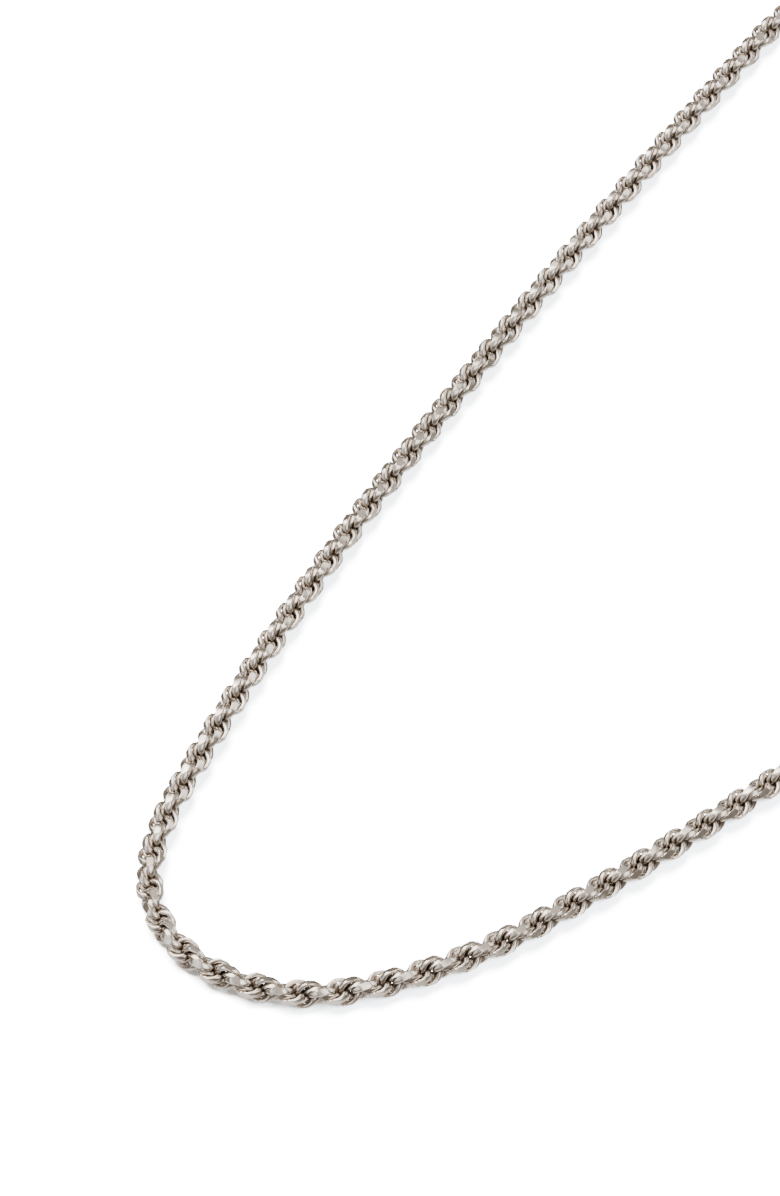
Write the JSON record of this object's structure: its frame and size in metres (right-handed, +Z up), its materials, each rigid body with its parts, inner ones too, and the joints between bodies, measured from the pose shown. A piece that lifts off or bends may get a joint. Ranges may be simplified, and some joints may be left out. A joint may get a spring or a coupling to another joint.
{
  "type": "chain necklace",
  "caption": "Diamond-cut rope chain necklace of small interlinked round wire links, with end caps, jump rings, a lobster claw clasp and a plain oval tag.",
  "frame": {"origin": "on the table, at the underside of the rope in the middle of its length, where a pendant hangs", "axes": "+Z up from the table; the loop lies in the X-Y plane, opening towards +X"},
  "size_m": [0.18, 0.2115, 0.0047],
  "materials": {
    "links": "polished silver, diamond-cut flats",
    "fittings": "polished silver"
  },
  "bodies": {
    "length_01": {"chain_length_01": "links", "clasp_end_cap": "fittings"},
    "length_02": {"chain_length_02": "links"},
    "length_03": {"chain_length_03": "links"},
    "length_04": {"chain_length_04": "links"},
    "length_05": {"chain_length_05": "links"},
    "length_06": {"chain_length_06": "links"},
    "length_07": {"chain_length_07": "links"},
    "length_08": {"chain_length_08": "links"},
    "length_09": {"chain_length_09": "links"},
    "length_10": {"chain_length_10": "links"},
    "length_11": {"chain_length_11": "links"},
    "length_12": {"chain_length_12": "links"},
    "length_13": {"chain_length_13": "links"},
    "length_14": {"chain_length_14": "links"},
    "length_15": {"chain_length_15": "links"},
    "length_16": {"chain_length_16": "links"},
    "length_17": {"chain_length_17": "links"},
    "length_18": {"chain_length_18": "links"},
    "length_19": {"chain_length_19": "links"},
    "length_20": {"chain_length_20": "links"},
    "length_21": {"chain_length_21": "links"},
    "length_22": {"chain_length_22": "links"},
    "length_23": {"chain_length_23": "links"},
    "length_24": {"chain_length_24": "links"},
    "length_25": {"chain_length_25": "links"},
    "length_26": {"chain_length_26": "links"},
    "length_27": {"chain_length_27": "links"},
    "length_28": {"chain_length_28": "links"},
    "length_29": {"chain_length_29": "links"},
    "length_30": {"chain_length_30": "links"},
    "length_31": {"chain_length_31": "links"},
    "length_32": {"chain_length_32": "links"},
    "length_33": {"chain_length_33": "links"},
    "length_34": {"chain_length_34": "links"},
    "length_35": {"chain_length_35": "links"},
    "length_36": {"chain_length_36": "links"},
    "length_37": {"chain_length_37": "links"},
    "length_38": {"chain_length_38": "links"},
    "length_39": {"chain_length_39": "links"},
    "length_40": {"chain_length_40": "links"},
    "length_41": {"chain_length_41": "links"},
    "length_42": {"chain_length_42": "links"},
    "length_43": {"chain_length_43": "links"},
    "length_44": {"chain_length_44": "links", "catch_end_cap": "fittings"},
    "clasp_ring": {"clasp_ring": "fittings"},
    "clasp": {"clasp_body": "fittings", "clasp_pin": "fittings", "clasp_spring": "fittings"},
    "trigger": {"clasp_trigger": "fittings"},
    "catch_ring": {"catch_ring": "fittings"},
    "tag": {"hang_tag": "fittings"}
  },
  "joints": [
    {"name": "bend_01_02", "type": "hinge", "parent": "length_02", "child": "length_01", "pos_m": [0.15087, 0.14014, 0.00225], "axis": [0, 0, 1], "range_deg": [-1.68, 3]},
    {"name": "bend_02_03", "type": "hinge", "parent": "length_03", "child": "length_02", "pos_m": [0.1428, 0.14798, 0.00201], "axis": [0, 0, 1], "range_deg": [-1.68, 3]},
    {"name": "bend_03_04", "type": "hinge", "parent": "length_04", "child": "length_03", "pos_m": [0.13266, 0.15285, 0.00198], "axis": [0, 0, 1], "range_deg": [-1.68, 3]},
    {"name": "bend_04_05", "type": "hinge", "parent": "length_05", "child": "length_04", "pos_m": [0.1215, 0.15424, 0.00198], "axis": [0, 0, 1], "range_deg": [-1.68, 3]},
    {"name": "bend_05_06", "type": "hinge", "parent": "length_06", "child": "length_05", "pos_m": [0.11036, 0.15247, 0.00198], "axis": [0, 0, -1], "range_deg": [-3, 2.22]},
    {"name": "bend_06_07", "type": "hinge", "parent": "length_07", "child": "length_06", "pos_m": [0.09978, 0.14857, 0.00198], "axis": [0, 0, -1], "range_deg": [-3, 2.22]},
    {"name": "bend_07_08", "type": "hinge", "parent": "length_08", "child": "length_07", "pos_m": [0.09012, 0.14274, 0.00198], "axis": [0, 0, -1], "range_deg": [-3, 2.22]},
    {"name": "bend_08_09", "type": "hinge", "parent": "length_09", "child": "length_08", "pos_m": [0.08175, 0.13517, 0.00198], "axis": [0, 0, -1], "range_deg": [-3, 2.22]},
    {"name": "bend_09_10", "type": "hinge", "parent": "length_10", "child": "length_09", "pos_m": [0.07493, 0.12618, 0.00198], "axis": [0, 0, 1], "range_deg": [-2.97, 3]},
    {"name": "bend_10_11", "type": "hinge", "parent": "length_11", "child": "length_10", "pos_m": [0.06867, 0.11678, 0.00198], "axis": [0, 0, 1], "range_deg": [-2.97, 3]},
    {"name": "bend_11_12", "type": "hinge", "parent": "length_12", "child": "length_11", "pos_m": [0.06247, 0.10734, 0.00198], "axis": [0, 0, 1], "range_deg": [-2.97, 3]},
    {"name": "bend_12_13", "type": "hinge", "parent": "length_13", "child": "length_12", "pos_m": [0.05634, 0.09784, 0.00198], "axis": [0, 0, 1], "range_deg": [-2.97, 3]},
    {"name": "bend_13_14", "type": "hinge", "parent": "length_14", "child": "length_13", "pos_m": [0.05028, 0.08831, 0.00198], "axis": [0, 0, -1], "range_deg": [-3, 2.97]},
    {"name": "bend_14_15", "type": "hinge", "parent": "length_15", "child": "length_14", "pos_m": [0.0443, 0.07873, 0.00198], "axis": [0, 0, -1], "range_deg": [-3, 2.97]},
    {"name": "bend_15_16", "type": "hinge", "parent": "length_16", "child": "length_15", "pos_m": [0.03838, 0.0691, 0.00198], "axis": [0, 0, -1], "range_deg": [-3, 2.97]},
    {"name": "bend_16_17", "type": "hinge", "parent": "length_17", "child": "length_16", "pos_m": [0.03254, 0.05943, 0.00198], "axis": [0, 0, -1], "range_deg": [-3, 2.97]},
    {"name": "bend_17_18", "type": "hinge", "parent": "length_18", "child": "length_17", "pos_m": [0.02676, 0.04972, 0.00198], "axis": [0, 0, 1], "range_deg": [-2.97, 3]},
    {"name": "bend_18_19", "type": "hinge", "parent": "length_19", "child": "length_18", "pos_m": [0.02106, 0.03997, 0.00198], "axis": [0, 0, 1], "range_deg": [-2.97, 3]},
    {"name": "bend_19_20", "type": "hinge", "parent": "length_20", "child": "length_19", "pos_m": [0.01547, 0.03015, 0.00198], "axis": [0, 0, 1], "range_deg": [-2.91, 3]},
    {"name": "bend_20_21", "type": "hinge", "parent": "length_21", "child": "length_20", "pos_m": [0.0101, 0.02021, 0.00198], "axis": [0, 0, 1], "range_deg": [-2.91, 3]},
    {"name": "bend_21_22", "type": "hinge", "parent": "length_22", "child": "length_21", "pos_m": [0.00494, 0.01016, 0.00198], "axis": [0, 0, -1], "range_deg": [-3, 2.91]},
    {"name": "bend_22_23", "type": "hinge", "parent": "length_22", "child": "length_23", "pos_m": [0, 0, 0.00198], "axis": [0, 0, -1], "range_deg": [-2.91, 3]},
    {"name": "bend_23_24", "type": "hinge", "parent": "length_23", "child": "length_24", "pos_m": [-0.00472, -0.01027, 0.00198], "axis": [0, 0, -1], "range_deg": [-2.91, 3]},
    {"name": "bend_24_25", "type": "hinge", "parent": "length_24", "child": "length_25", "pos_m": [-0.00918, -0.02064, 0.00198], "axis": [0, 0, -1], "range_deg": [-2.12, 3]},
    {"name": "bend_25_26", "type": "hinge", "parent": "length_25", "child": "length_26", "pos_m": [-0.01205, -0.03155, 0.00198], "axis": [0, 0, 1], "range_deg": [-3, 0.59]},
    {"name": "bend_26_27", "type": "hinge", "parent": "length_26", "child": "length_27", "pos_m": [-0.01002, -0.0425, 0.00198], "axis": [0, 0, 1], "range_deg": [-3, 0.59]},
    {"name": "bend_27_28", "type": "hinge", "parent": "length_27", "child": "length_28", "pos_m": [-0.00227, -0.0505, 0.00198], "axis": [0, 0, 1], "range_deg": [-3, 1.08]},
    {"name": "bend_28_29", "type": "hinge", "parent": "length_28", "child": "length_29", "pos_m": [0.00845, -0.05373, 0.00198], "axis": [0, 0, 1], "range_deg": [-3, 1.08]},
    {"name": "bend_29_30", "type": "hinge", "parent": "length_29", "child": "length_30", "pos_m": [0.01956, -0.05206, 0.00198], "axis": [0, 0, -1], "range_deg": [-2.25, 3]},
    {"name": "bend_30_31", "type": "hinge", "parent": "length_30", "child": "length_31", "pos_m": [0.03005, -0.04792, 0.00198], "axis": [0, 0, -1], "range_deg": [-2.39, 3]},
    {"name": "bend_31_32", "type": "hinge", "parent": "length_31", "child": "length_32", "pos_m": [0.03978, -0.04219, 0.00198], "axis": [0, 0, -1], "range_deg": [-2.45, 3]},
    {"name": "bend_32_33", "type": "hinge", "parent": "length_32", "child": "length_33", "pos_m": [0.04897, -0.03563, 0.00198], "axis": [0, 0, -1], "range_deg": [-2.92, 3]},
    {"name": "bend_33_34", "type": "hinge", "parent": "length_33", "child": "length_34", "pos_m": [0.05803, -0.02888, 0.00198], "axis": [0, 0, 1], "range_deg": [-3, 2.92]},
    {"name": "bend_34_35", "type": "hinge", "parent": "length_34", "child": "length_35", "pos_m": [0.06696, -0.02195, 0.00198], "axis": [0, 0, 1], "range_deg": [-3, 2.92]},
    {"name": "bend_35_36", "type": "hinge", "parent": "length_35", "child": "length_36", "pos_m": [0.07572, -0.01482, 0.00198], "axis": [0, 0, 1], "range_deg": [-3, 2.81]},
    {"name": "bend_36_37", "type": "hinge", "parent": "length_36", "child": "length_37", "pos_m": [0.08417, -0.00732, 0.00198], "axis": [0, 0, 1], "range_deg": [-3, 2.81]},
    {"name": "bend_37_38", "type": "hinge", "parent": "length_37", "child": "length_38", "pos_m": [0.09227, 0.00056, 0.00198], "axis": [0, 0, -1], "range_deg": [-2.81, 3]},
    {"name": "bend_38_39", "type": "hinge", "parent": "length_38", "child": "length_39", "pos_m": [0.09999, 0.0088, 0.00198], "axis": [0, 0, -1], "range_deg": [-2.81, 3]},
    {"name": "bend_39_40", "type": "hinge", "parent": "length_39", "child": "length_40", "pos_m": [0.10732, 0.0174, 0.00198], "axis": [0, 0, -1], "range_deg": [-2.81, 3]},
    {"name": "bend_40_41", "type": "hinge", "parent": "length_40", "child": "length_41", "pos_m": [0.11421, 0.02635, 0.00198], "axis": [0, 0, -1], "range_deg": [-2.22, 3]},
    {"name": "bend_41_42", "type": "hinge", "parent": "length_41", "child": "length_42", "pos_m": [0.11972, 0.03619, 0.00198], "axis": [0, 0, 1], "range_deg": [-3, 2.22]},
    {"name": "bend_42_43", "type": "hinge", "parent": "length_42", "child": "length_43", "pos_m": [0.12327, 0.0469, 0.00201], "axis": [0, 0, 1], "range_deg": [-3, 2.22]},
    {"name": "bend_43_44", "type": "hinge", "parent": "length_43", "child": "length_44", "pos_m": [0.12472, 0.05809, 0.00225], "axis": [0, 0, 1], "range_deg": [-3, 2.22]},
    {"name": "clasp_ring_swing", "type": "hinge", "parent": "length_01", "child": "clasp_ring", "pos_m": [0.15749, 0.127, 0.00234], "axis": [0, 0, 1], "range_deg": [-35, 35]},
    {"name": "catch_ring_swing", "type": "hinge", "parent": "length_44", "child": "catch_ring", "pos_m": [0.12374, 0.07279, 0.00234], "axis": [0, 0, 1], "range_deg": [-35, 35]},
    {"name": "clasp_swing", "type": "hinge", "parent": "clasp_ring", "child": "clasp", "pos_m": [0.15834, 0.125, 0.00215], "axis": [-0.921, -0.3895, 0], "range_deg": [-60, 60]},
    {"name": "tag_swing", "type": "hinge", "parent": "catch_ring", "child": "tag", "pos_m": [0.12351, 0.07496, 0.00215], "axis": [0.9943, 0.1062, 0], "range_deg": [-60, 60]},
    {"name": "trigger_pivot", "type": "hinge", "parent": "clasp", "child": "trigger", "pos_m": [0.16106, 0.11996, 0.0015], "axis": [0, 0, -1], "range_deg": [0, 16], "stiffness_Nm_per_rad": 0.002, "springref_deg": -17.19}
  ]
}
